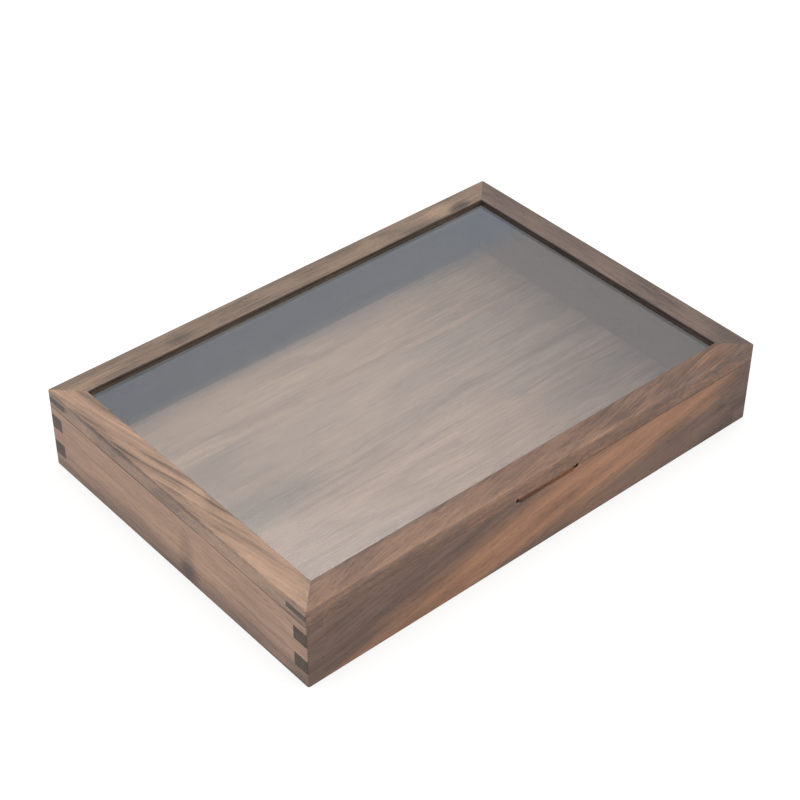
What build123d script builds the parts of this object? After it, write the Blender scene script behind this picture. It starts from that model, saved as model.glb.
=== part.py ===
from build123d import *
from math import ceil
import os

# Walnut display box with a glazed lid on two stop hinges. All lengths are in millimetres.
# The origin is on the resting plane, under the middle of the four walls.
# +X runs along the front from left to right, +Y from the front to the hinges, and +Z is up.

# Walls, measured outside
box_width = 307.0
box_depth = 213.5
wall_height = 40.0
wall_thickness = 10.0

# Finger joints at the corners of the walls
finger_height = 8.75

# Floor of edge-glued boards, held in a groove of the walls
floor_thickness = 5.0
floor_recess = 3.0  # from the resting plane up to the underside
floor_bite = 4.0  # how far the floor goes into a wall
floor_edge_play = 0.5
floor_face_play = 0.1
floor_board_width = 64.0
floor_last_joint = 57.9  # from the back face to the nearest glue joint

# Lid frame, with mitred corners and a through tenon in each
lid_thickness = 10.0
rail_width = 15.0
lid_tenon_thickness = 3.6

# Pane, held in a groove of the lid
glass_thickness = 3.0
glass_below_top = 2.2  # from the lid's top down to the pane
glass_bite = 4.5
glass_edge_play = 0.5
glass_face_play = 0.15
glass_chamfer = 0.4

# Eased edges
corner_round = 1.2
lid_top_round = 0.6
sight_edge_round = 0.6
seam_round = 0.4
base_round = 0.6
round_limit_share = 0.9  # most of the corner's radius that a meeting edge may take

# Fingernail notch across the seam, with a drilled hole at each end
notch_length = 40.8  # between the centres of the holes
notch_height = 3.5
notch_depth = 1.6
notch_drop = 0.75  # from the seam down to the notch's middle
notch_hole_gap = 0.9  # from the slot's end out to the centre of a hole
notch_hole_diameter = 2.6
notch_hole_depth = 7.0

# Stop hinges
hinge_length = 30.0
hinge_inset = 60.0  # from the side of the box to the middle of a hinge
leaf_reach = 7.5  # from the back face to the leaf's far edge
leaf_thickness = 1.6
leaf_set = 0.1  # how far a leaf lies below the wood's face
mortise_play = 0.1
barrel_diameter = 4.0
barrel_play = 0.3
axis_overhang = 1.0  # from the back face out to the hinge's axis
knuckle_gap = 0.2
pin_diameter = 2.0
pin_play = 0.05
pin_chamfer = 0.3
stop_reach = 3.2  # radius of the stop lugs
stop_wood_gap = 0.1
lid_stop_angle = 101.0  # in degrees, between the faces of the two stop lugs

# Countersunk screws in the leaves
screw_length = 7.5
screw_diameter = 1.8
screw_head_diameter = 3.4
screw_tip_length = 2.0
screw_slot_width = 0.5
screw_slot_depth = 0.4
screw_inset = 4.2  # from the back face to the row of screws
screw_spacing = 18.0
screw_play = 0.05

# How far every cut runs past the face that it starts from
overrun = 2.0

# Places worked out from the sizes above
seam = wall_height
half_width = box_width / 2
half_depth = box_depth / 2
inner_half_width = half_width - wall_thickness
inner_half_depth = half_depth - wall_thickness
sight_half_width = half_width - rail_width
sight_half_depth = half_depth - rail_width
lid_top = seam + lid_thickness
lid_middle = seam + lid_thickness / 2
hinge_axis_y = half_depth + axis_overhang
hinge_places = {"left": hinge_inset - half_width, "right": half_width - hinge_inset}
barrel_radius = barrel_diameter / 2
all_corners = [(-1, -1), (1, -1), (1, 1), (-1, 1)]  # sides of X and Y


def both_ways(reach):
    return (-reach, reach)


def block(x_span, y_span, z_span):
    spans = (x_span, y_span, z_span)
    centre = [(low + high) / 2 for low, high in spans]
    size = [high - low for low, high in spans]
    return Pos(*centre) * Box(*size)


def rod(radius, x_span, y=0, z=0):
    low, high = x_span
    return Pos((low + high) / 2, y, z) * Rot(0, 90, 0) * Cylinder(radius, high - low)


def drilled(radius, y_span, x, z):
    low, high = y_span
    return Pos(x, (low + high) / 2, z) * Rot(90, 0, 0) * Cylinder(radius, high - low)


# Outer block of the box or the lid, with its eased outside edges
def eased_block(z_span, top_round, bottom_round):
    most = round_limit_share * corner_round
    blank = block(both_ways(half_width), both_ways(half_depth), z_span)
    blank = fillet(blank.edges().filter_by(Axis.Z), corner_round)
    blank = fillet(blank.faces().sort_by(Axis.Z)[-1].edges(), min(top_round, most))
    return fillet(blank.faces().sort_by(Axis.Z)[0].edges(), min(bottom_round, most))


# The four edges round an opening at a given height
def opening_edges(blank, x_reach, y_reach, z):
    level = blank.edges().filter_by(Plane.XY).filter_by_position(Axis.Z, z, z)
    inside = level.filter_by_position(Axis.X, *both_ways(x_reach))
    return inside.filter_by_position(Axis.Y, *both_ways(y_reach))


# Square posts at the corners, where one member passes through the other
def corner_posts(width, z_spans, corners):
    posts = []
    for side_x, side_y in corners:
        x_span = sorted((side_x * (half_width + overrun), side_x * (half_width - width)))
        y_span = sorted((side_y * (half_depth + overrun), side_y * (half_depth - width)))
        posts += [block(x_span, y_span, z_span) for z_span in z_spans]
    return posts


# Screw holes and screws run from the leaf's face into the wood: down for way -1, up for way 1
def screw_places(x):
    y = half_depth - screw_inset
    return [(x - screw_spacing / 2, y), (x + screw_spacing / 2, y)]


def screw_outline(play):
    head = screw_head_diameter / 2 + play
    shank = screw_diameter / 2 + play
    head_height = head - shank
    length = screw_length + play
    points = [(0, 0), (0, length), (shank, length - screw_tip_length), (shank, head_height), (head, 0)]
    return [(x, 0, z) for x, z in points]


def turned(points, way):
    outline = make_face(Polyline(*points, close=True))
    solid = revolve(outline, axis=Axis.Z)
    return solid if way > 0 else mirror(solid, about=Plane.XY)


def screw_hole(way):
    return turned(screw_outline(screw_play), way)


def screw(way):
    slot_reach = screw_head_diameter / 2 + overrun
    slot_span = sorted((-way * overrun, way * screw_slot_depth))
    slot = block(both_ways(slot_reach), both_ways(screw_slot_width / 2), slot_span)
    return turned(screw_outline(0), way) - slot


def screws(way):
    z = seam + way * leaf_set
    places = [place for x in hinge_places.values() for place in screw_places(x)]
    return Compound([Pos(*place, z) * screw(way) for place in places])


# Spans of the three knuckles along a hinge's axis, about its middle
def knuckle_spans():
    length = (hinge_length - 2 * knuckle_gap) / 3
    step = length + knuckle_gap
    return [(middle - length / 2, middle + length / 2) for middle in (-step, 0, step)]


# Lug behind the barrel: its sloping face meets the other leaf's lug when the lid is fully open
def stop_lug():
    y_span = (stop_wood_gap - axis_overhang, stop_reach)
    lug = block(both_ways(hinge_length / 2), y_span, (-stop_reach, 0))
    lug &= rod(stop_reach, both_ways(hinge_length / 2))
    far = 2 * stop_reach
    below = block(both_ways(hinge_length), both_ways(far), (-far, 0))
    return lug & Rot(-lid_stop_angle / 2, 0, 0) * below


# Leaf about the hinge's axis, with its plate below: the upper leaf is turned over
def hinge_leaf(own_knuckles, way):
    half_length = hinge_length / 2
    plate_span = (-axis_overhang - leaf_reach, 0)
    leaf = block(both_ways(half_length), plate_span, (-leaf_set - leaf_thickness, -leaf_set))
    leaf += stop_lug()
    for index, (low, high) in enumerate(knuckle_spans()):
        if index not in own_knuckles:
            room = (low - knuckle_gap, high + knuckle_gap)
            leaf -= rod(barrel_radius + barrel_play, room)
    for index in own_knuckles:
        leaf += rod(barrel_radius, knuckle_spans()[index])
    leaf -= rod(pin_diameter / 2 + pin_play, both_ways(hinge_length))
    for x, y in screw_places(0):
        leaf -= Pos(x, y - hinge_axis_y, -leaf_set) * screw_hole(-1)
    return leaf if way < 0 else mirror(leaf, about=Plane.XY)


def hinge_pin():
    pin = rod(pin_diameter / 2, both_ways(hinge_length / 2))
    return chamfer(pin.edges().filter_by(GeomType.CIRCLE), pin_chamfer)


def hinges():
    made = {}
    for side, x in hinge_places.items():
        place = Pos(x, hinge_axis_y, seam)
        made[f"{side}_hinge_lower_leaf"] = place * hinge_leaf((0, 2), -1)
        made[f"{side}_hinge_upper_leaf"] = place * hinge_leaf((1,), 1)
        made[f"{side}_hinge_pin"] = place * hinge_pin()
    return made


# Room for one hinge in the wood: way is -1 in the wall and 1 in the lid
def hinge_mortise(x, way):
    reach = hinge_length / 2 + mortise_play
    depth = leaf_set + leaf_thickness
    x_span = (x - reach, x + reach)
    z_span = sorted((seam - way * overrun, seam + way * depth))
    cut = block(x_span, (half_depth - leaf_reach - mortise_play, half_depth + overrun), z_span)
    cut += rod(barrel_radius + barrel_play, x_span, hinge_axis_y, seam)
    for place in screw_places(x):
        cut += Pos(*place, seam + way * leaf_set) * screw_hole(way)
    return cut


# Routed slot across the seam for a fingernail, ending in two drilled holes
def notch():
    radius = notch_height / 2
    half_run = notch_length / 2 - notch_hole_gap - radius
    front = -half_depth
    z = seam - notch_drop
    slot_span = (front - overrun, front + notch_depth)
    hole_span = (front - overrun, front + notch_hole_depth)
    cut = block(both_ways(half_run), slot_span, (z - radius, z + radius))
    for side in (-1, 1):
        cut += drilled(radius, slot_span, side * half_run, z)
        cut += drilled(notch_hole_diameter / 2, hole_span, side * notch_length / 2, seam)
    return cut


# Floor panel, or with play the groove that holds it
def floor_panel(edge_play=0, face_play=0):
    x_reach = inner_half_width + floor_bite + edge_play
    y_reach = inner_half_depth + floor_bite + edge_play
    z_span = (floor_recess - face_play, floor_recess + floor_thickness + face_play)
    return block(both_ways(x_reach), both_ways(y_reach), z_span)


# Boards of the floor, numbered from the back
def floor_boards():
    panel = floor_panel()
    back = panel.bounding_box().max.Y
    front = panel.bounding_box().min.Y
    joint = half_depth - floor_last_joint
    edges = [back]
    while joint > front:
        edges.append(joint)
        joint -= floor_board_width
    edges.append(front)
    x_span = both_ways(half_width)
    z_span = (0, seam)
    made = {}
    for number, (high, low) in enumerate(zip(edges, edges[1:]), start=1):
        made[f"floor_board_{number}"] = panel & block(x_span, (low, high), z_span)
    return made


# The four walls as one, before they are parted at the finger joints
def carcass():
    blank = eased_block((0, seam), seam_round, base_round)
    blank -= block(both_ways(inner_half_width), both_ways(inner_half_depth), (-overrun, seam + overrun))
    blank = fillet(opening_edges(blank, inner_half_width, inner_half_depth, seam), seam_round)
    blank -= floor_panel(floor_edge_play, floor_face_play)
    blank -= notch()
    for x in hinge_places.values():
        blank -= hinge_mortise(x, -1)
    return blank


# Heights at which the side walls run through to the front and back faces
def side_finger_spans():
    count = ceil(seam / (2 * finger_height))
    starts = [2 * step * finger_height for step in range(count)]
    return [(start, min(start + finger_height, seam)) for start in starts]


def walls():
    blank = carcass()
    posts = corner_posts(wall_thickness, side_finger_spans(), all_corners)
    made = {}
    for name, side in (("front_wall", -1), ("back_wall", 1)):
        y_span = sorted((side * (half_depth + overrun), side * inner_half_depth))
        slab = block(both_ways(half_width + overrun), y_span, (-overrun, seam + overrun))
        made[name] = blank & (slab - posts)
    for name, side in (("left_wall", -1), ("right_wall", 1)):
        x_span = sorted((side * (half_width + overrun), side * inner_half_width))
        slab = block(x_span, both_ways(inner_half_depth), (-overrun, seam + overrun))
        corners = [corner for corner in all_corners if corner[0] == side]
        made[name] = blank & (slab + corner_posts(wall_thickness, side_finger_spans(), corners))
    return made


# Pane, or with play the groove that holds it
def pane(edge_play=0, face_play=0):
    x_reach = sight_half_width + glass_bite + edge_play
    y_reach = sight_half_depth + glass_bite + edge_play
    glass_top = lid_top - glass_below_top
    z_span = (glass_top - glass_thickness - face_play, glass_top + face_play)
    return block(both_ways(x_reach), both_ways(y_reach), z_span)


def glass_pane():
    glass = pane()
    return chamfer(glass.edges(), glass_chamfer)


# The lid frame as one, before it is parted at the mitres
def lid_blank():
    blank = eased_block((seam, lid_top), lid_top_round, seam_round)
    z_span = (seam - overrun, lid_top + overrun)
    blank -= block(both_ways(sight_half_width), both_ways(sight_half_depth), z_span)
    blank = fillet(opening_edges(blank, sight_half_width, sight_half_depth, lid_top), sight_edge_round)
    blank = fillet(opening_edges(blank, sight_half_width, sight_half_depth, seam), seam_round)
    blank -= pane(glass_edge_play, glass_face_play)
    blank -= notch()
    for x in hinge_places.values():
        blank -= hinge_mortise(x, 1)
    return blank


# Prism between the mitres at two corners of the lid
def mitre_region(first, second):
    reach = rail_width + overrun
    points = []
    for (side_x, side_y), inward in ((first, -overrun), (second, -overrun), (second, reach), (first, reach)):
        points.append((side_x * (half_width - inward), side_y * (half_depth - inward)))
    outline = make_face(Polyline(*points, close=True))
    return extrude(Pos(0, 0, seam - overrun) * outline, lid_thickness + 2 * overrun, dir=(0, 0, 1))


def lid_rails():
    blank = lid_blank()
    half_tenon = lid_tenon_thickness / 2
    tenons = corner_posts(rail_width, [(lid_middle - half_tenon, lid_middle + half_tenon)], all_corners)
    made = {}
    for name, side in (("lid_front_rail", -1), ("lid_back_rail", 1)):
        corners = [corner for corner in all_corners if corner[1] == side]
        own = [post for post, corner in zip(tenons, all_corners) if corner in corners]
        made[name] = blank & (mitre_region(*corners) + own)
    for name, side in (("lid_left_rail", -1), ("lid_right_rail", 1)):
        corners = [corner for corner in all_corners if corner[0] == side]
        made[name] = (blank & mitre_region(*corners)) - tenons
    return made


def pieces():
    made = {**walls(), **floor_boards(), **lid_rails(), **hinges()}
    made["glass_pane"] = glass_pane()
    made["lower_leaf_screws"] = screws(-1)
    made["upper_leaf_screws"] = screws(1)
    return made


os.makedirs("parts", exist_ok=True)
for name, shape in pieces().items():
    export_step(shape, f"parts/{name}.step")
    print(name, round(shape.volume, 1))
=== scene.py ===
import math

import bmesh
import bpy
from mathutils import Matrix, Vector


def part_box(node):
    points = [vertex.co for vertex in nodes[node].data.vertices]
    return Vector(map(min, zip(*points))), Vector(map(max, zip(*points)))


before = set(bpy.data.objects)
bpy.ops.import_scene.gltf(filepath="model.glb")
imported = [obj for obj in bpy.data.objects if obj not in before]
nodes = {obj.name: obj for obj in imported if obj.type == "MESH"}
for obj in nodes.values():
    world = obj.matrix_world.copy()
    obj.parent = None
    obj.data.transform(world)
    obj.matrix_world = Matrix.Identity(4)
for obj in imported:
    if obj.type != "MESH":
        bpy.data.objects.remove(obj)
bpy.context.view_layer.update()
print("frame loaded:", len(nodes), "nodes")

mmPerMetre = 1000.0  # objects are in metres, grain is set out in millimetres
screenCurve = {"white": 255, "offset": 0.055, "power": 2.4}  # from a screen's values to linear light
plainNoise = {"detail": 2.0, "roughness": 0.5}
noiseRange = (0.25, 0.75)  # where nearly all of a noise lies
mixSockets = {"share": 0, "first": 6, "second": 7, "result": 2}  # the Mix node's sockets for colours
white = (1.0, 1.0, 1.0, 1.0)


# a colour as 0 to 255 on a screen, in the linear values that a shader takes
def tone(red, green, blue):
    offset = screenCurve["offset"]
    shares = [(c / screenCurve["white"] + offset) / (1 + offset) for c in (red, green, blue)]
    return (*(share ** screenCurve["power"] for share in shares), 1.0)


def grey(value):
    return (value, value, value, 1.0)


def setSockets(tree, made, inputs):
    for socket, value in inputs.items():
        if isinstance(value, bpy.types.NodeSocket):
            tree.links.new(value, made.inputs[socket])
        else:
            made.inputs[socket].default_value = value


def addNode(tree, kind, inputs, **settings):
    made = tree.nodes.new("ShaderNode" + kind)
    for name, value in settings.items():
        setattr(made, name, value)
    setSockets(tree, made, inputs)
    return made


def maths(tree, operation, *values):
    return addNode(tree, "Math", dict(enumerate(values)), operation=operation).outputs[0]


def vectors(tree, operation, *values):
    made = addNode(tree, "VectorMath", dict(enumerate(values)), operation=operation)
    return made.outputs["Value" if operation in ("LENGTH", "DOT_PRODUCT") else "Vector"]


def softStep(tree, value, low, high):
    inputs = {"Value": value, "From Min": low, "From Max": high}
    return addNode(tree, "MapRange", inputs, interpolation_type="SMOOTHSTEP").outputs["Result"]


def spread(tree, value, low, high):
    lowest, highest = noiseRange
    inputs = {"Value": value, "From Min": lowest, "From Max": highest, "To Min": low, "To Max": high}
    return addNode(tree, "MapRange", inputs).outputs["Result"]


def mixTones(tree, share, first, second):
    inputs = {mixSockets["share"]: share, mixSockets["first"]: first, mixSockets["second"]: second}
    return addNode(tree, "Mix", inputs, data_type="RGBA").outputs[mixSockets["result"]]


# noise whose swells have a mark's size along X, Y and Z
def cloud(tree, where, mark):
    noise = {**plainNoise, **mark}
    place = addNode(tree, "Mapping", {"Vector": where, "Scale": [1 / s for s in noise["size"]]})
    return addNode(tree, "TexNoise", {
        "Vector": place.outputs[0], "Scale": 1.0, "Detail": noise["detail"], "Roughness": noise["roughness"],
    })


def cloudShare(tree, where, mark):
    return cloud(tree, where, mark).outputs["Fac"]


def swell(tree, where, mark):
    return spread(tree, cloudShare(tree, where, mark), -1.0, 1.0)


# where a mark shows: its noise between the mark's start and its full depth
def markShare(tree, where, mark):
    return softStep(tree, cloudShare(tree, where, mark), *mark["limits"])


def toneRamp(tree, value, stops):
    ramp = addNode(tree, "ValToRGB", {0: value})
    elements = ramp.color_ramp.elements
    while len(elements) < len(stops):
        elements.new(0.5)  # moved to its place below
    for element, (place, colour) in zip(elements, stops):
        element.position = place
        element.color = colour
    return ramp.outputs[0]


def newMaterial(name):
    material = bpy.data.materials.new(name)
    material.use_nodes = True
    tree = material.node_tree
    return material, tree, tree.nodes["Principled BSDF"]


def dress(node, material):
    piece = nodes[node]
    piece.data.materials.clear()
    piece.data.materials.append(material)


# walnut from deep to light wood, about the board's middle tone
heartShares = (
    (0.08, (0.26, 0.28, 0.31)),
    (0.34, (0.62, 0.63, 0.65)),
    (0.52, (1.0, 1.0, 1.0)),
    (0.84, (1.55, 1.52, 1.46)),
)


def heart(red, green, blue):
    middle = tone(red, green, blue)
    return [(place, tuple(m * s for m, s in zip(middle, (*share, 1.0)))) for place, share in heartShares]


# a board's places and sizes are in millimetres from its middle, with the grain along X
walnutStock = {
    "tilt": (0.0, 0.0),  # degrees that the grain rises along the board, and strays across it
    "pith": (6.0, -45.0),  # middle of the tree, across and above the middle of the board
    "lean": (1.2, 0.8),  # degrees between the tree's middle and the grain
    "ringGap": 3.4,
    "sway": 3.0,
    "swayLength": (150.0, 34.0, 34.0),
    "bands": 0.12,
    "lines": 0.07,
    "fibres": 0.13,
    "fine": 0.12,
    "mottle": 0.12,
    "streaks": 0.06,
    "pores": 0.4,
    "warmth": (0.2, 0.8),  # share of the warm colouring, at the ends of its swells
    "warmBand": (),  # lines that the warm colouring keeps above or below
    "slants": (),  # dark bands that climb along the board
    "patches": (),  # spots with a shade or warmth of their own; a few are painted highlight or painted light
    "faceToneAndPaintedLight": (),  # faces with painted shade, a painted highlight or a tone of their own, and faces with a calmer figure
    "lined": (),  # where the late-wood lines come in
    "shadedBores": (),  # drilled holes, with painted shade inside
    "cool": heart(104, 82, 69),
    "warm": heart(124, 96, 78),
    "ends": (tone(48, 38, 32), tone(72, 57, 49)),
    "endsFrom": 0.0,  # how far from its middle the board shows end grain
    "gloss": (0.46, 0.62),  # roughness of the dark fibres, and of the light ones
    "polish": 0.25,
}
# sizes along and across the grain in millimetres, and where on its noise a mark starts and is full
grainMarks = {
    "lineDepth": {"size": (90.0, 8.0, 8.0), "limits": (0.25, 0.6)},
    "fibre": {"size": (90.0, 1.7, 1.7), "detail": 4.0, "roughness": 0.6},
    "fine": {"size": (45.0, 0.65, 0.65), "detail": 3.0, "roughness": 0.6},
    "mottle": {"size": (40.0, 11.0, 11.0), "detail": 3.0},
    "streak": {"size": (170.0, 3.6, 3.6), "limits": (0.54, 0.68)},
    "pore": {"size": (5.0, 0.28, 0.28), "detail": 1.0, "limits": (0.60, 0.70)},
    "poreCluster": {"size": (9.0, 0.7, 0.7), "limits": (0.61, 0.74)},
    "endPore": {"size": (0.8, 0.35, 0.35), "detail": 3.0},
    "warmSwell": {"size": (90.0, 16.0, 16.0), "detail": 3.0},
    "waver": {"size": (46.0, 9.0, 9.0), "detail": 4.0},
    "patchEdge": {"size": (14.0, 5.0, 5.0), "detail": 3.0, "limits": (1.35, 0.55), "ragged": 0.7},
}
lateWood = ((0.0, 0.35), (0.22, 0.0), (0.62, 0.2), (0.92, 1.0))  # how dark each part of a ring is
ringBands = {"scale": 0.55, "detail": 3.0}  # dark and light years, from ring to ring
sawStep = (1000.0, 130.0, 0.0)  # in the tree, from one board's cut to the next
# painted shade inside drilled holes, darker and cooler behind the mouth
paintedHoleShade = {
    "limits": (0.15, 0.05),  # outside the hole's radius
    "mouth": {"towards": (0.0, -1.0, 0.0), "inset": (0.1, 0.4)},
    "shade": -0.5,
    "warm": -0.5,
}
endGrain = {
    "facing": (0.55, 0.85),  # how squarely a face lies across the grain
    "soft": 2.0,
    "bands": 0.6,
    "lower": 0.3,
    "stops": (0.25, 0.75),  # of the darker and the lighter tone
}
planed = {
    "middle": 0.5,  # shade of a plain board
    "lineShare": 0.2,  # of the wood that the lines darken
    "streakShare": 0.25,  # and the streaks
    "poreRoughness": 0.18,
    "fibreRelief": 0.25,
    "poreRelief": -0.8,
    "reliefStrength": 0.35,
    "reliefDepth": 0.00006,
}


# turns a board so that its grain lies along X
def boardTurn(grain):
    return Matrix.Rotation(math.radians(-90.0 if grain == "Y" else 0.0), 3, "Z")


# from the board's middle to its face
def faceDistance(look, towards):
    low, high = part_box(look["node"])
    size = boardTurn(look["grain"]) @ (high - low) * mmPerMetre
    return sum(abs(t * s) for t, s in zip(towards, size)) / 2


# a change from its start to its full depth, set in from a face or out from the middle
def faceShare(tree, place, look, face):
    if "inset" in face:
        start, full = (faceDistance(look, face["towards"]) - inset for inset in face["inset"])
    else:
        start, full = face["fromMiddle"]
    return softStep(tree, vectors(tree, "DOT_PRODUCT", place, face["towards"]), start, full)


def grainPlaces(tree, coords, look):
    low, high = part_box(look["node"])
    turn = boardTurn(look["grain"])
    board = addNode(tree, "Mapping", {
        "Vector": coords.outputs["Object"],
        "Location": -(turn @ (low + high)) / 2 * mmPerMetre,
        "Rotation": turn.to_euler(),
        "Scale": (mmPerMetre,) * 3,
    }).outputs[0]
    rise, stray = (math.radians(angle) for angle in look["tilt"])
    grain = addNode(tree, "Mapping", {
        "Vector": board,
        "Location": [look["cut"] * step for step in sawStep],
        "Rotation": (0.0, rise, -stray),
    }).outputs[0]
    return board, grain


def ringGrowth(tree, board, grain, look):
    sway = cloud(tree, grain, {"size": look["swayLength"]}).outputs["Color"]
    stretch = 2 * look["sway"] / (noiseRange[1] - noiseRange[0])
    aside = vectors(tree, "MULTIPLY_ADD", sway, (0.0, stretch, stretch), (0.0, -stretch / 2, -stretch / 2))
    swayed = vectors(tree, "ADD", board, aside)
    across, up = look["pith"]
    rise, stray = (math.radians(angle + lean) for angle, lean in zip(look["tilt"], look["lean"]))
    fromPith = addNode(tree, "Mapping", {
        "Vector": swayed,
        "Location": (0.0, -across, -up),
        "Rotation": (0.0, rise, -stray),
    }).outputs[0]
    radius = vectors(tree, "LENGTH", vectors(tree, "MULTIPLY", fromPith, (0.0, 1.0, 1.0)))
    return maths(tree, "DIVIDE", radius, look["ringGap"]), vectors(tree, "ADD", grain, aside)


def patchMask(tree, board, patch):
    edge = grainMarks["patchEdge"]
    inside = addNode(tree, "Mapping", {
        "Vector": vectors(tree, "SUBTRACT", board, patch["place"]),
        "Scale": [1 / r for r in patch["reach"]],
    }).outputs[0]
    ragged = cloudShare(tree, board, edge)
    reach = maths(tree, "MULTIPLY_ADD", ragged, edge["ragged"], vectors(tree, "LENGTH", inside))
    return softStep(tree, reach, *edge["limits"])


# painted shade inside a hole drilled from the front
def boreShadeMask(tree, board, look, bore):
    x, z = bore["centre"]
    fromAxis = vectors(tree, "MULTIPLY", vectors(tree, "SUBTRACT", board, (x, 0.0, z)), (1.0, 0.0, 1.0))
    rim = [bore["radius"] + edge for edge in paintedHoleShade["limits"]]
    inside = softStep(tree, vectors(tree, "LENGTH", fromAxis), *rim)
    return maths(tree, "MULTIPLY", inside, faceShare(tree, board, look, paintedHoleShade["mouth"]))


# distance above a line that climbs along the board, wavering by up to ragged
def aboveLine(tree, board, grain, line):
    rise = line["slope"]
    x, z = line["through"]
    above = maths(tree, "ADD", vectors(tree, "DOT_PRODUCT", board, (-rise, 0.0, 1.0)), rise * x - z)
    return maths(tree, "MULTIPLY_ADD", swell(tree, grain, grainMarks["waver"]), line["ragged"] / 2, above)


def warmShare(tree, board, grain, look):
    share = spread(tree, cloudShare(tree, grain, grainMarks["warmSwell"]), *look["warmth"])
    for edge in look["warmBand"]:
        above = aboveLine(tree, board, grain, edge)
        inBand = softStep(tree, above, -edge["soft"] * edge["side"], edge["soft"] * edge["side"])
        share = maths(tree, "MULTIPLY", share, inBand)
    return share


# growth bands, late-wood lines, fibres, mottling and dark streaks make one figure
def woodFigure(tree, place, swayed, growth, look):
    inputs = {"W": growth, "Scale": ringBands["scale"], "Detail": ringBands["detail"]}
    band = addNode(tree, "TexNoise", inputs, noise_dimensions="1D").outputs[0]
    line = toneRamp(tree, maths(tree, "FRACT", growth), [(part, grey(dark)) for part, dark in lateWood])
    line = maths(tree, "MULTIPLY", line, markShare(tree, swayed, grainMarks["lineDepth"]))
    for face in look["lined"]:
        line = maths(tree, "MULTIPLY", line, faceShare(tree, place, look, face))
    fibre = swell(tree, swayed, grainMarks["fibre"])
    fine = swell(tree, swayed, grainMarks["fine"])
    mottle = swell(tree, swayed, grainMarks["mottle"])
    streak = markShare(tree, swayed, grainMarks["streak"])
    figure = maths(tree, "MULTIPLY", spread(tree, band, -1.0, 1.0), look["bands"])
    figure = maths(tree, "MULTIPLY_ADD", fibre, look["fibres"], figure)
    figure = maths(tree, "MULTIPLY_ADD", fine, look["fine"], figure)
    figure = maths(tree, "MULTIPLY_ADD", mottle, look["mottle"], figure)
    figure = maths(tree, "MULTIPLY_ADD", line, -look["lines"], figure)
    figure = maths(tree, "MULTIPLY_ADD", streak, -look["streaks"], figure)
    return figure, band, fibre


def boardShade(tree, place, grain, figure, look):
    warmth = warmShare(tree, place, grain, look)
    # a little lighter at first, since lines and streaks only darken
    shade = planed["middle"] + look["lines"] * planed["lineShare"] + look["streaks"] * planed["streakShare"]
    # painted shade and painted highlights on whole faces (seams, inside faces, sight edges, feet, tops), and
    # some tone of the wood's own; some faces also get a calmer figure
    for face in look["faceToneAndPaintedLight"]:
        mask = faceShare(tree, place, look, face)
        shade = maths(tree, "MULTIPLY_ADD", mask, face["shade"], shade)
        calmed = maths(tree, "MULTIPLY_ADD", mask, -face.get("calm", 0.0), 1.0)
        figure = maths(tree, "MULTIPLY", figure, calmed)
    shade = maths(tree, "ADD", shade, figure)
    # this board's own slanting dark bands and patches, some patches being painted highlight or painted light,
    # and painted shade inside drilled holes
    for slant in look["slants"]:
        above = maths(tree, "ABSOLUTE", aboveLine(tree, place, grain, slant))
        shade = maths(tree, "MULTIPLY_ADD", softStep(tree, above, slant["width"], 0.0), slant["shade"], shade)
    marked = [(patchMask(tree, place, patch), patch) for patch in look["patches"]]
    marked += [(boreShadeMask(tree, place, look, bore), paintedHoleShade) for bore in look["shadedBores"]]
    for mask, mark in marked:
        shade = maths(tree, "MULTIPLY_ADD", mask, mark.get("shade", 0.0), shade)
        warmth = maths(tree, "MULTIPLY_ADD", mask, mark.get("warm", 0.0), warmth)
    return shade, addNode(tree, "Clamp", {"Value": warmth}).outputs[0]


# end grain is darker, with the pores end on
def endGrainTone(tree, place, band, look):
    endPores = cloudShare(tree, place, grainMarks["endPore"])
    lowered = maths(tree, "SUBTRACT", endPores, endGrain["lower"])
    endShade = maths(tree, "MULTIPLY_ADD", band, endGrain["bands"], lowered)
    return toneRamp(tree, endShade, list(zip(endGrain["stops"], look["ends"])))


def endGrainShare(tree, coords, place, look):
    alongGrain = boardTurn(look["grain"]).inverted() @ Vector((1.0, 0.0, 0.0))
    facing = vectors(tree, "DOT_PRODUCT", coords.outputs["Normal"], alongGrain)
    share = softStep(tree, maths(tree, "ABSOLUTE", facing), *endGrain["facing"])
    fromMiddle = maths(tree, "ABSOLUTE", vectors(tree, "DOT_PRODUCT", place, (1.0, 0.0, 0.0)))
    nearEnd = softStep(tree, fromMiddle, look["endsFrom"], look["endsFrom"] + endGrain["soft"])
    return maths(tree, "MULTIPLY", share, nearEnd)


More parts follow.
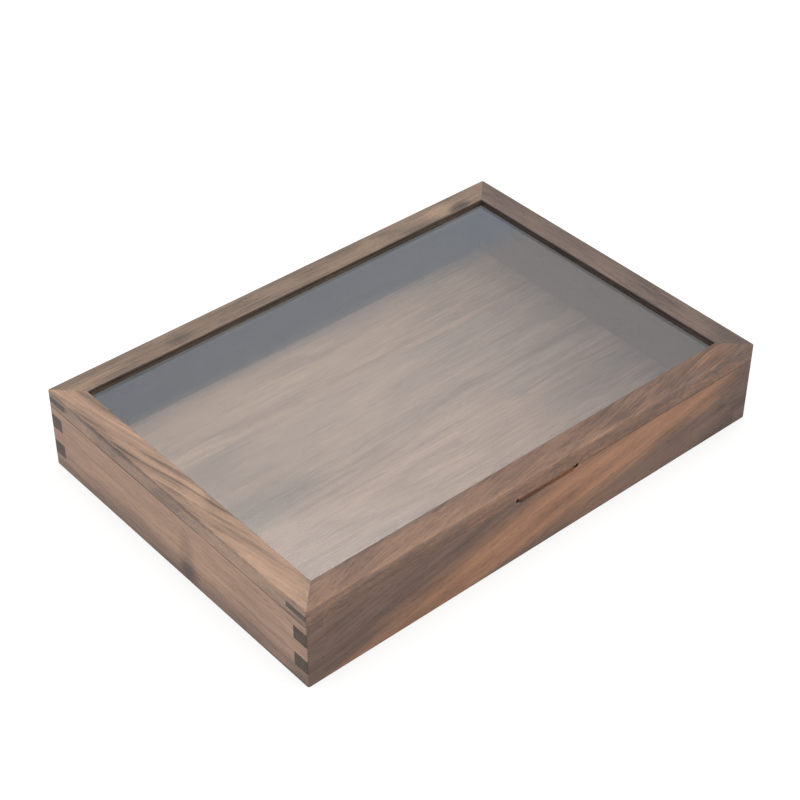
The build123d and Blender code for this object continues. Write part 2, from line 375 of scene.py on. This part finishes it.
def walnut(board):
    look = {**walnutStock, **board}
    material, tree, shader = newMaterial(look["node"] + "_walnut")
    coords = addNode(tree, "TexCoord", {})
    place, grain = grainPlaces(tree, coords, look)
    growth, swayed = ringGrowth(tree, place, grain, look)
    figure, band, fibre = woodFigure(tree, place, swayed, growth, look)
    shade, warmth = boardShade(tree, place, grain, figure, look)
    colour = mixTones(tree, warmth, toneRamp(tree, shade, look["cool"]), toneRamp(tree, shade, look["warm"]))

    # pores: short dark dashes along the grain, fine ones and clusters
    finePores = markShare(tree, swayed, grainMarks["pore"])
    pores = maths(tree, "MAXIMUM", finePores, markShare(tree, swayed, grainMarks["poreCluster"]))
    deepest = look["cool"][0][1]
    colour = mixTones(tree, maths(tree, "MULTIPLY", pores, look["pores"]), colour, deepest)
    endTone = endGrainTone(tree, place, band, look)
    colour = mixTones(tree, endGrainShare(tree, coords, place, look), colour, endTone)

    roughness = maths(tree, "MULTIPLY_ADD", pores, planed["poreRoughness"], addNode(tree, "MapRange", {
        "Value": fibre, "From Min": -1.0, "To Min": look["gloss"][0], "To Max": look["gloss"][1],
    }).outputs["Result"])
    poreRelief = maths(tree, "MULTIPLY", pores, planed["poreRelief"])
    bump = addNode(tree, "Bump", {
        "Strength": planed["reliefStrength"],
        "Distance": planed["reliefDepth"],
        "Height": maths(tree, "MULTIPLY_ADD", fibre, planed["fibreRelief"], poreRelief),
    })
    setSockets(tree, shader, {
        "Base Color": colour,
        "Roughness": roughness,
        "Specular IOR Level": look["polish"],
        "Normal": bump.outputs[0],
    })
    dress(look["node"], material)


# the four walls
# painted shade along the seam under the lid, faint on the front and darker on the left
paintedSeamShade = {"towards": (0.0, 0.0, 1.0), "inset": (0.4, 0.1), "shade": -0.1}
frontPaintedSeamShade = {**paintedSeamShade, "shade": -0.03}
leftPaintedSeamShade = {**paintedSeamShade, "inset": (0.6, 0.1), "shade": -0.22}
# painted shade on the inside faces of the walls, which also get a calmer figure
insideShadeBack = {"towards": (0.0, -1.0, 0.0), "inset": (0.5, 0.1), "shade": -0.19, "calm": 0.65}
insideShadeFront = {"towards": (0.0, 1.0, 0.0), "inset": (0.5, 0.1), "shade": -0.19, "calm": 0.5}
frontEnds = {"ends": (tone(56, 45, 38), tone(82, 66, 57)), "endsFrom": 100.0}  # not in the notch
frontWall = {
    "node": "front_wall", "slot": "walnut_wall", "grain": "X", "cut": 1,
    "tilt": (10.0, 0.0),
    "pith": (-20.0, -90.0),
    "cool": heart(106, 83, 71), "warm": heart(149, 107, 80),
    "bands": 0.06, "lines": 0.03, "fibres": 0.08, "fine": 0.11, "mottle": 0.1, "streaks": 0.02,
    "warmth": (0.8, 1.0),
    "warmBand": (
        {"slope": 0.245, "through": (-118.5, -13.0), "side": -1, "soft": 9.0, "ragged": 7.0},
        {"slope": 0.15, "through": (-33.5, -17.0), "side": 1, "soft": 5.0, "ragged": 6.0},
    ),
    "slants": ({"slope": 0.245, "through": (-123.5, -4.0), "width": 12.0, "ragged": 6.0, "shade": -0.05},),
    "patches": (
        {"place": (131.0, 0.0, -2.0), "reach": (8.0, 12.0, 5.0), "shade": -0.14},
        {"place": (155.0, 0.0, -14.0), "reach": (46.0, 12.0, 26.0), "shade": -0.1},
        {"place": (30.0, 0.0, -16.0), "reach": (60.0, 12.0, 9.0), "warm": 0.35},
        {"place": (152.0, 0.0, 8.0), "reach": (40.0, 12.0, 34.0), "warm": -0.9},
        # painted light in the notch's slot, lifting its shade
        {"place": (0.0, -3.0, 18.6), "reach": (40.0, 3.0, 3.2), "shade": 0.1, "warm": 0.3},
        {"place": (-12.0, -3.0, 18.6), "reach": (9.0, 3.0, 3.2), "shade": 0.12},
        {"place": (-110.0, 0.0, -15.0), "reach": (50.0, 12.0, 13.0), "warm": -0.45},
        {"place": (-147.0, 0.0, 16.0), "reach": (16.0, 12.0, 8.0), "shade": 0.07},
        # painted shade along the seam's right half, and painted light over the left half that hides the
        # groove's shade
        {"place": (95.0, -5.0, 20.0), "reach": (110.0, 3.0, 0.9), "shade": -0.12},
        {"place": (-95.0, -5.0, 20.0), "reach": (110.0, 3.0, 0.9), "shade": 0.15},
    ),
    # painted shade inside the notch's end holes
    "shadedBores": (
        {"centre": (-19.7, 19.0), "radius": 1.8},
        {"centre": (20.4, 20.0), "radius": 1.25},
    ),
    **frontEnds,
    "faceToneAndPaintedLight": (
        # painted shade along the seam, on the inside face and towards the bottom
        frontPaintedSeamShade, insideShadeFront,
        {"towards": (0.0, 0.0, -1.0), "inset": (12.0, 0.0), "shade": -0.04},
        {"towards": (1.0, 0.0, 0.0), "fromMiddle": (105.0, 156.0), "shade": -0.12},
    ),
}
leftWall = {
    "node": "left_wall", "slot": "walnut_wall", "grain": "Y", "cut": 2,
    "cool": heart(151, 121, 105), "warm": heart(161, 131, 110),
    "bands": 0.05, "lines": 0.03, "fibres": 0.07, "fine": 0.13,
    "mottle": 0.06, "streaks": 0.03, "pores": 0.3,
    "patches": (
        {"place": (-13.0, 0.0, -13.0), "reach": (13.0, 14.0, 14.0), "shade": -0.24},
        {"place": (-12.0, 0.0, 0.0), "reach": (9.0, 14.0, 22.0), "shade": -0.13},
        {"place": (60.0, 0.0, -9.0), "reach": (60.0, 14.0, 3.0), "shade": -0.06, "warm": 0.5},
        {"place": (-70.0, 0.0, -10.0), "reach": (60.0, 14.0, 3.0), "shade": -0.06, "warm": 0.5},
        {"place": (-99.0, 0.0, -17.0), "reach": (13.0, 14.0, 9.0), "shade": -0.12},
    ),
    "ends": (tone(84, 66, 56), tone(110, 88, 76)),
    "faceToneAndPaintedLight": (
        # painted shade along the seam and on the inside face, darker towards the bottom, and a painted dark
        # line along the foot
        leftPaintedSeamShade, insideShadeBack,
        {"towards": (0.0, 0.0, -1.0), "inset": (18.0, 1.0), "shade": -0.22},
        {"towards": (0.0, 0.0, -1.0), "inset": (1.8, 0.6), "shade": -0.16},
    ),
}
backWall = {
    "node": "back_wall", "slot": "walnut_wall", "grain": "X", "cut": 3, "tilt": (-4.0, 0.0),
    # painted shade along the seam and on the inside face
    "cool": heart(96, 77, 66), "warm": heart(112, 86, 70), "faceToneAndPaintedLight": (paintedSeamShade, insideShadeBack),
    "ends": (tone(64, 53, 46), tone(88, 73, 64)),
}
rightWall = {
    "node": "right_wall", "slot": "walnut_wall", "grain": "Y", "cut": 4, "tilt": (3.0, 0.0),
    "cool": heart(96, 77, 66), "warm": heart(112, 86, 70),
    "ends": (tone(80, 64, 55), tone(106, 86, 75)),
    # painted shade along the seam and on the inside face
    "faceToneAndPaintedLight": (paintedSeamShade, insideShadeFront),
}
for wall in (frontWall, leftWall, backWall, rightWall):
    walnut(wall)
print("walls finished")

# the floor boards, from the back to the front
floorStock = {
    "slot": "walnut_floor", "grain": "X", "pith": (10.0, -70.0),
    "streaks": 0.06, "fibres": 0.15, "fine": 0.24, "bands": 0.12,
    # painted shade, darker towards the right wall
    "faceToneAndPaintedLight": ({"towards": (1.0, 0.0, 0.0), "fromMiddle": (40.0, 150.0), "shade": -0.13},),
}
floorBoards = (
    {
        "node": "floor_board_1", "cut": 5, "cool": heart(110, 90, 77), "warm": heart(124, 99, 82),
        "patches": ({"place": (48.0, 4.0, 2.5), "reach": (70.0, 34.0, 20.0), "shade": -0.1},),
    },
    {
        "node": "floor_board_2", "cut": 6, "cool": heart(96, 83, 75), "warm": heart(118, 97, 84),
        "tilt": (0.0, 2.0),
        "patches": (
            {"place": (-110.0, -18.0, 0.0), "reach": (70.0, 20.0, 20.0), "shade": -0.16, "warm": -0.6},
            {"place": (10.0, -18.0, 2.5), "reach": (110.0, 1.8, 4.0), "shade": 0.14},
            {"place": (60.0, -23.0, 2.5), "reach": (90.0, 1.4, 4.0), "shade": 0.12},
        ),
    },
    {
        "node": "floor_board_3", "cut": 7, "cool": heart(112, 92, 80), "warm": heart(128, 103, 89),
        "patches": ({"place": (66.0, 26.0, 0.0), "reach": (12.0, 6.0, 20.0), "shade": -0.2},),
        # painted shade, darker towards the right wall
        "faceToneAndPaintedLight": ({"towards": (1.0, 0.0, 0.0), "fromMiddle": (20.0, 130.0), "shade": -0.27},),
    },
    {"node": "floor_board_4", "cut": 8, "cool": heart(110, 90, 78), "warm": heart(124, 100, 86)},
)
for floorBoard in floorBoards:
    walnut({**floorStock, **floorBoard})
print("floor finished")

# the lid's rails
# painted shade along the seam at the rails' foot, faint on the front and darker on the left
railPaintedSeamShade = {"towards": (0.0, 0.0, -1.0), "inset": (0.4, 0.1), "shade": -0.1}
frontRailPaintedSeamShade = {**railPaintedSeamShade, "shade": -0.03}
leftRailPaintedSeamShade = {**railPaintedSeamShade, "inset": (0.6, 0.1), "shade": -0.22}
# painted shade on the rails' inner faces above the pane
sightShadeBehind = {"towards": (0.0, 1.0, 0.0), "inset": (0.5, 0.1), "shade": -0.37}
sightShadeAhead = {"towards": (0.0, -1.0, 0.0), "inset": (0.5, 0.1), "shade": -0.26}
lidFrontRail = {
    "node": "lid_front_rail", "slot": "walnut_lid", "grain": "X", "cut": 9,
    "tilt": (3.0, 10.5), "ringGap": 4.6,
    "bands": 0.09, "lines": 0.1, "fibres": 0.13, "fine": 0.18, "streaks": 0.04, "pores": 0.38,
    "cool": heart(108, 86, 74), "warm": heart(137, 100, 77), "polish": 0.42, "warmth": (0.0, 0.5),
    "patches": (
        {"place": (52.0, 0.0, 5.0), "reach": (18.0, 9.0, 9.0), "shade": -0.14},
        {"place": (126.0, 0.0, 4.0), "reach": (22.0, 9.0, 9.0), "shade": -0.05, "warm": 0.6},
        {"place": (-45.0, 2.0, 5.0), "reach": (34.0, 9.0, 4.0), "shade": 0.1},
        # painted highlight along the front top arris
        {"place": (0.0, -7.5, 5.0), "reach": (400.0, 2.4, 2.4), "shade": 0.12},
        {"place": (-100.0, -7.5, -2.0), "reach": (90.0, 3.0, 8.0), "shade": -0.17, "warm": 0.5},
        {"place": (10.0, -7.5, -2.0), "reach": (140.0, 3.0, 9.0), "warm": 0.9},
        {"place": (110.0, -7.5, -2.0), "reach": (80.0, 3.0, 9.0), "warm": 0.6},
        # painted light in the notch's slot, lifting its shade
        {"place": (0.0, -5.5, -5.0), "reach": (40.0, 3.0, 2.4), "shade": 0.1, "warm": 0.3},
        # painted shade along the seam's right half, and painted light over the left half that hides the
        # groove's shade
        {"place": (95.0, -7.5, -5.0), "reach": (110.0, 3.0, 0.9), "shade": -0.12},
        {"place": (-95.0, -7.5, -5.0), "reach": (110.0, 3.0, 0.9), "shade": 0.15},
        {"place": (-90.0, 6.5, 5.0), "reach": (90.0, 2.6, 4.0), "shade": -0.06, "warm": -0.4},
        # painted highlight along the front top edge on the left half
        {"place": (-90.0, -5.5, 5.0), "reach": (110.0, 2.2, 2.0), "shade": 0.12},
    ),
    # painted shade inside the notch's end holes
    "shadedBores": [{"centre": (x, -5.0), "radius": 1.25} for x in (-20.4, 20.4)],
    **frontEnds,
    "faceToneAndPaintedLight": (
        # painted shade along the seam, on the sight edge and on the front face, and a painted sheen over the
        # top
        frontRailPaintedSeamShade, sightShadeBehind,
        {"towards": (0.0, -1.0, 0.0), "inset": (0.7, 0.2), "shade": -0.04},
        {"towards": (0.0, 0.0, 1.0), "inset": (0.6, 0.2), "shade": 0.03},
        {"towards": (1.0, 0.0, 0.0), "fromMiddle": (-60.0, 120.0), "shade": -0.1},
    ),
}
lidBackRail = {
    "node": "lid_back_rail", "slot": "walnut_lid", "grain": "X", "cut": 10,
    "cool": heart(109, 92, 79), "warm": heart(122, 101, 84), "polish": 0.5, "fine": 0.19,
    "patches": (
        {"place": (-134.0, -3.0, 5.0), "reach": (34.0, 9.0, 9.0), "shade": 0.04, "warm": 0.7},
        {"place": (112.0, 0.0, 5.0), "reach": (16.0, 8.0, 9.0), "shade": 0.18, "warm": 0.4},
        {"place": (124.0, -4.0, 5.0), "reach": (12.0, 5.0, 9.0), "shade": -0.4},
        {"place": (-76.0, -2.0, 5.0), "reach": (13.0, 6.0, 9.0), "shade": -0.22},
        {"place": (45.0, -2.0, 5.0), "reach": (75.0, 9.0, 9.0), "shade": 0.07},
    ),
    # painted shade along the seam and on the sight edge
    "faceToneAndPaintedLight": (railPaintedSeamShade, sightShadeAhead),
}
lidLeftRail = {
    "node": "lid_left_rail", "slot": "walnut_lid", "grain": "Y", "cut": 11,
    "tilt": (0.0, 8.5), "pith": (60.0, -8.0), "ringGap": 5.4,
    "bands": 0.13, "lines": 0.25, "fibres": 0.13, "fine": 0.13, "streaks": 0.06, "pores": 0.3,
    "cool": heart(130, 104, 88), "warm": heart(150, 122, 101), "polish": 0.5,
    "patches": (
        {"place": (-20.0, -7.0, 5.0), "reach": (15.0, 4.5, 9.0), "shade": -0.26},
        {"place": (-82.0, -4.0, 5.0), "reach": (22.0, 6.0, 5.0), "shade": 0.05},
        {"place": (20.0, 7.5, 4.0), "reach": (120.0, 1.6, 1.4), "shade": -0.16},
        {"place": (-11.0, -1.0, 5.0), "reach": (13.0, 6.0, 5.0), "shade": 0.14},
        {"place": (60.0, 6.5, 5.0), "reach": (60.0, 6.0, 5.0), "shade": -0.16},
        {"place": (-50.0, 3.0, 5.5), "reach": (60.0, 6.0, 3.0), "shade": 0.12},
        {"place": (98.0, 7.5, 0.0), "reach": (16.0, 3.0, 9.0), "shade": -0.12},
    ),
    "lined": (
        {"towards": (0.0, 1.0, 0.0), "inset": (0.3, 1.7)},
        {"towards": (-1.0, 0.0, 0.0), "fromMiddle": (62.0, 30.0)},
    ),
    "faceToneAndPaintedLight": (
        # painted shade along the seam, on the sight edge and on the outer face
        leftRailPaintedSeamShade, sightShadeAhead,
        {"towards": (0.0, 1.0, 0.0), "inset": (0.7, 0.2), "shade": -0.09},
    ),
}
lidRightRail = {
    "node": "lid_right_rail", "slot": "walnut_lid", "grain": "Y", "cut": 12,
    "cool": heart(92, 77, 70), "warm": heart(104, 84, 75), "polish": 0.5, "fine": 0.2,
    "patches": ({"place": (-95.0, 0.0, 5.0), "reach": (18.0, 9.0, 9.0), "shade": -0.08},),
    # painted shade along the seam and on the sight edge
    "faceToneAndPaintedLight": (railPaintedSeamShade, sightShadeBehind),
}
for rail in (lidFrontRail, lidBackRail, lidLeftRail, lidRightRail):
    walnut(rail)
print("lid rails finished")

# the pane
clearPane = {
    "node": "glass_pane",
    "smear": {"size": (0.09, 0.02, 0.02), "detail": 4.0, "limits": (0.3, 0.7)},  # in metres
    "wiped": (0.975, 0.99, 0.985, 1.0),
    "smeared": (0.965, 0.98, 0.975, 1.0),
    "smudge": (0.0, 0.02),
    "index": 1.9,
    "wave": {"size": (0.08, 0.08, 0.08), "detail": 1.0},
    "waveStrength": 0.5,
    "waveDepth": 0.00005,
}


def glazing(pane):
    material, tree, shader = newMaterial("clear_pane")
    onPane = addNode(tree, "TexCoord", {}).outputs["Object"]
    smear = cloudShare(tree, onPane, pane["smear"])
    bump = addNode(tree, "Bump", {
        "Strength": pane["waveStrength"],
        "Distance": pane["waveDepth"],
        "Height": cloudShare(tree, onPane, pane["wave"]),
    })
    tints = list(zip(pane["smear"]["limits"], (pane["wiped"], pane["smeared"])))
    setSockets(tree, shader, {
        "Base Color": toneRamp(tree, smear, tints),
        "Roughness": spread(tree, smear, *pane["smudge"]),
        "IOR": pane["index"],
        "Transmission Weight": 1.0,
        "Normal": bump.outputs[0],
    })
    dress(pane["node"], material)
    nodes[pane["node"]].visible_shadow = False  # light goes straight through to the floor
    nodes[pane["node"]].visible_diffuse = False


glazing(clearPane)
print("pane finished")

# hinges, pins and screws
brassFittings = {
    "clean": tone(197, 166, 108),
    "tarnished": tone(142, 114, 70),
    # sizes in metres
    "stain": {"size": (0.006, 0.004, 0.004), "detail": 5.0, "roughness": 0.6, "limits": (0.35, 0.6)},
    "gloss": (0.46, 0.26),  # roughness where tarnished, and where clean
    "brushing": {"size": (0.02, 0.00018, 0.00018)},
    "brushStrength": 0.25,
    "brushDepth": 0.00002,
}


def brass(fittings):
    material, tree, shader = newMaterial("satin_brass")
    onBrass = addNode(tree, "TexCoord", {}).outputs["Object"]
    stain = cloudShare(tree, onBrass, fittings["stain"])
    tints = list(zip(fittings["stain"]["limits"], (fittings["tarnished"], fittings["clean"])))
    bump = addNode(tree, "Bump", {
        "Strength": fittings["brushStrength"],
        "Distance": fittings["brushDepth"],
        "Height": cloudShare(tree, onBrass, fittings["brushing"]),
    })
    setSockets(tree, shader, {
        "Base Color": toneRamp(tree, stain, tints),
        "Metallic": 1.0,
        "Roughness": spread(tree, stain, *fittings["gloss"]),
        "Normal": bump.outputs[0],
    })
    return material


brassFinish = brass(brassFittings)
for name in nodes:
    if "hinge" in name or "screws" in name:
        dress(name, brassFinish)
print("brass finished")

# the studio: white floor, even white surround, a wide soft light overhead
studio = {
    "floorReach": 4.0,
    "floorDrop": 0.0001,  # below the box's resting face
    "floorWhite": 0.35,
    "floorRoughness": 0.9,
    "floorGlow": 0.66,
    "surround": 0.85,
    "softboxPlace": (-0.15, -0.15, 1.4),
    "softboxSize": 1.6,
    "softboxPower": 15.0,
}
# what the pane mirrors: a white ceiling, brightest near the left corner and bluish at the back
overhead = {
    "height": 1.0,
    "reach": 0.6,
    "right": (0.78, 0.765, 0.775, 1.0),
    # each glow lies over the last; places are in millimetres, as they show on the pane
    "glows": (
        {"colour": (1.38, 1.25, 1.17, 1.0), "towards": (1.0, -0.15, 0.0), "start": 140.0, "full": -40.0},
        {"colour": (1.74, 1.61, 1.53, 1.0), "towards": (-1.0, -1.2, 0.0), "start": 130.0, "full": 230.0},
        {"colour": (0.7, 0.78, 0.88, 1.0), "towards": (0.0, 1.0, 0.0), "start": 45.0, "full": 65.0},
    ),
    "fadeAside": (235.0, 175.0),  # where the card's edges fade out
    "fadeBack": (195.0, 135.0),
}


def newSheet(name, size, place):
    sheet = bmesh.new()
    bmesh.ops.create_grid(sheet, x_segments=1, y_segments=1, size=size)
    bmesh.ops.translate(sheet, verts=sheet.verts, vec=place)
    mesh = bpy.data.meshes.new(name)
    sheet.to_mesh(mesh)
    sheet.free()
    made = bpy.data.objects.new(name, mesh)
    bpy.context.scene.collection.objects.link(made)
    return made


def whiteFloor(look):
    floor = newSheet("studio_floor", look["floorReach"], (0.0, 0.0, -look["floorDrop"]))
    material, tree, shader = newMaterial("white_floor")
    setSockets(tree, shader, {
        "Base Color": grey(look["floorWhite"]),
        "Roughness": look["floorRoughness"],
        "Specular IOR Level": 0.0,
        "Emission Color": white,
        "Emission Strength": look["floorGlow"],
    })
    floor.data.materials.append(material)


def overheadCard(look, eye):
    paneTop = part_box("glass_pane")[1].z
    mirrored = Vector((eye.x, eye.y, 2 * paneTop - eye.z))
    scale = (look["height"] - mirrored.z) / (paneTop - mirrored.z)
    middle = mirrored + (Vector((0.0, 0.0, paneTop)) - mirrored) * scale
    card = newSheet("overhead_card", look["reach"], middle)
    material, tree, shader = newMaterial("overhead_light")
    # places on the card as they show on the pane, in millimetres
    onPane = addNode(tree, "Mapping", {
        "Vector": addNode(tree, "TexCoord", {}).outputs["Object"],
        "Location": -middle / scale * mmPerMetre,
        "Scale": (mmPerMetre / scale,) * 3,
    }).outputs[0]
    colour = look["right"]
    for glow in look["glows"]:
        towards = vectors(tree, "DOT_PRODUCT", onPane, glow["towards"])
        colour = mixTones(tree, softStep(tree, towards, glow["start"], glow["full"]), colour, glow["colour"])
    fromMiddle = addNode(tree, "SeparateXYZ", {0: vectors(tree, "ABSOLUTE", onPane)}).outputs
    solidAcross = softStep(tree, fromMiddle[0], *look["fadeAside"])
    solid = maths(tree, "MULTIPLY", solidAcross, softStep(tree, fromMiddle[1], *look["fadeBack"]))
    lit = addNode(tree, "Emission", {"Color": colour}).outputs[0]
    clear = addNode(tree, "BsdfTransparent", {}).outputs[0]
    faded = addNode(tree, "MixShader", {0: solid, 1: clear, 2: lit}).outputs[0]
    tree.links.new(faded, tree.nodes["Material Output"].inputs["Surface"])
    tree.nodes.remove(shader)
    card.data.materials.append(material)
    card.visible_camera = False
    card.visible_diffuse = False
    card.visible_shadow = False


def surround(look):
    world = bpy.data.worlds.new("white_surround")
    world.use_nodes = True
    background = world.node_tree.nodes["Background"]
    setSockets(world.node_tree, background, {"Color": white, "Strength": look["surround"]})
    bpy.context.scene.world = world


def overheadSoftbox(look):
    lamp = bpy.data.lights.new("overhead_softbox", "AREA")
    lamp.energy = look["softboxPower"]
    lamp.size = look["softboxSize"]
    made = bpy.data.objects.new("overhead_softbox", lamp)
    made.location = look["softboxPlace"]
    made.visible_camera = False
    bpy.context.scene.collection.objects.link(made)
    # the pane doesn't mirror this light
    notLit = bpy.data.collections.new("not_lit_by_softbox")
    notLit.objects.link(nodes["glass_pane"])
    notLit.collection_objects[0].light_linking.link_state = "EXCLUDE"
    made.light_linking.receiver_collection = notLit


# the photograph's view
photoView = {
    "lens": 86.75,
    "sensor": 36.0,
    "nearest": 0.01,
    "eye": (-0.5268, -0.5997, 0.6745),
    "along": (0.51022, 0.58572, -0.62977),
    "rightward": (0.75560, -0.65503, 0.00296),
}


def photoCamera(view):
    data = bpy.data.cameras.new("photo_camera")
    data.lens = view["lens"]
    data.sensor_width = view["sensor"]
    data.clip_start = view["nearest"]
    made = bpy.data.objects.new("photo_camera", data)
    back = -Vector(view["along"]).normalized()
    right = Vector(view["rightward"])
    right = (right - back * right.dot(back)).normalized()
    upward = back.cross(right)
    turn = Matrix((right, upward, back)).transposed()
    made.matrix_world = Matrix.Translation(view["eye"]) @ turn.to_4x4()
    bpy.context.scene.collection.objects.link(made)
    bpy.context.scene.camera = made


whiteFloor(studio)
surround(studio)
overheadSoftbox(studio)
overheadCard(overhead, Vector(photoView["eye"]))
photoCamera(photoView)
bpy.context.scene.view_settings.view_transform = "Standard"
print("studio and camera set")
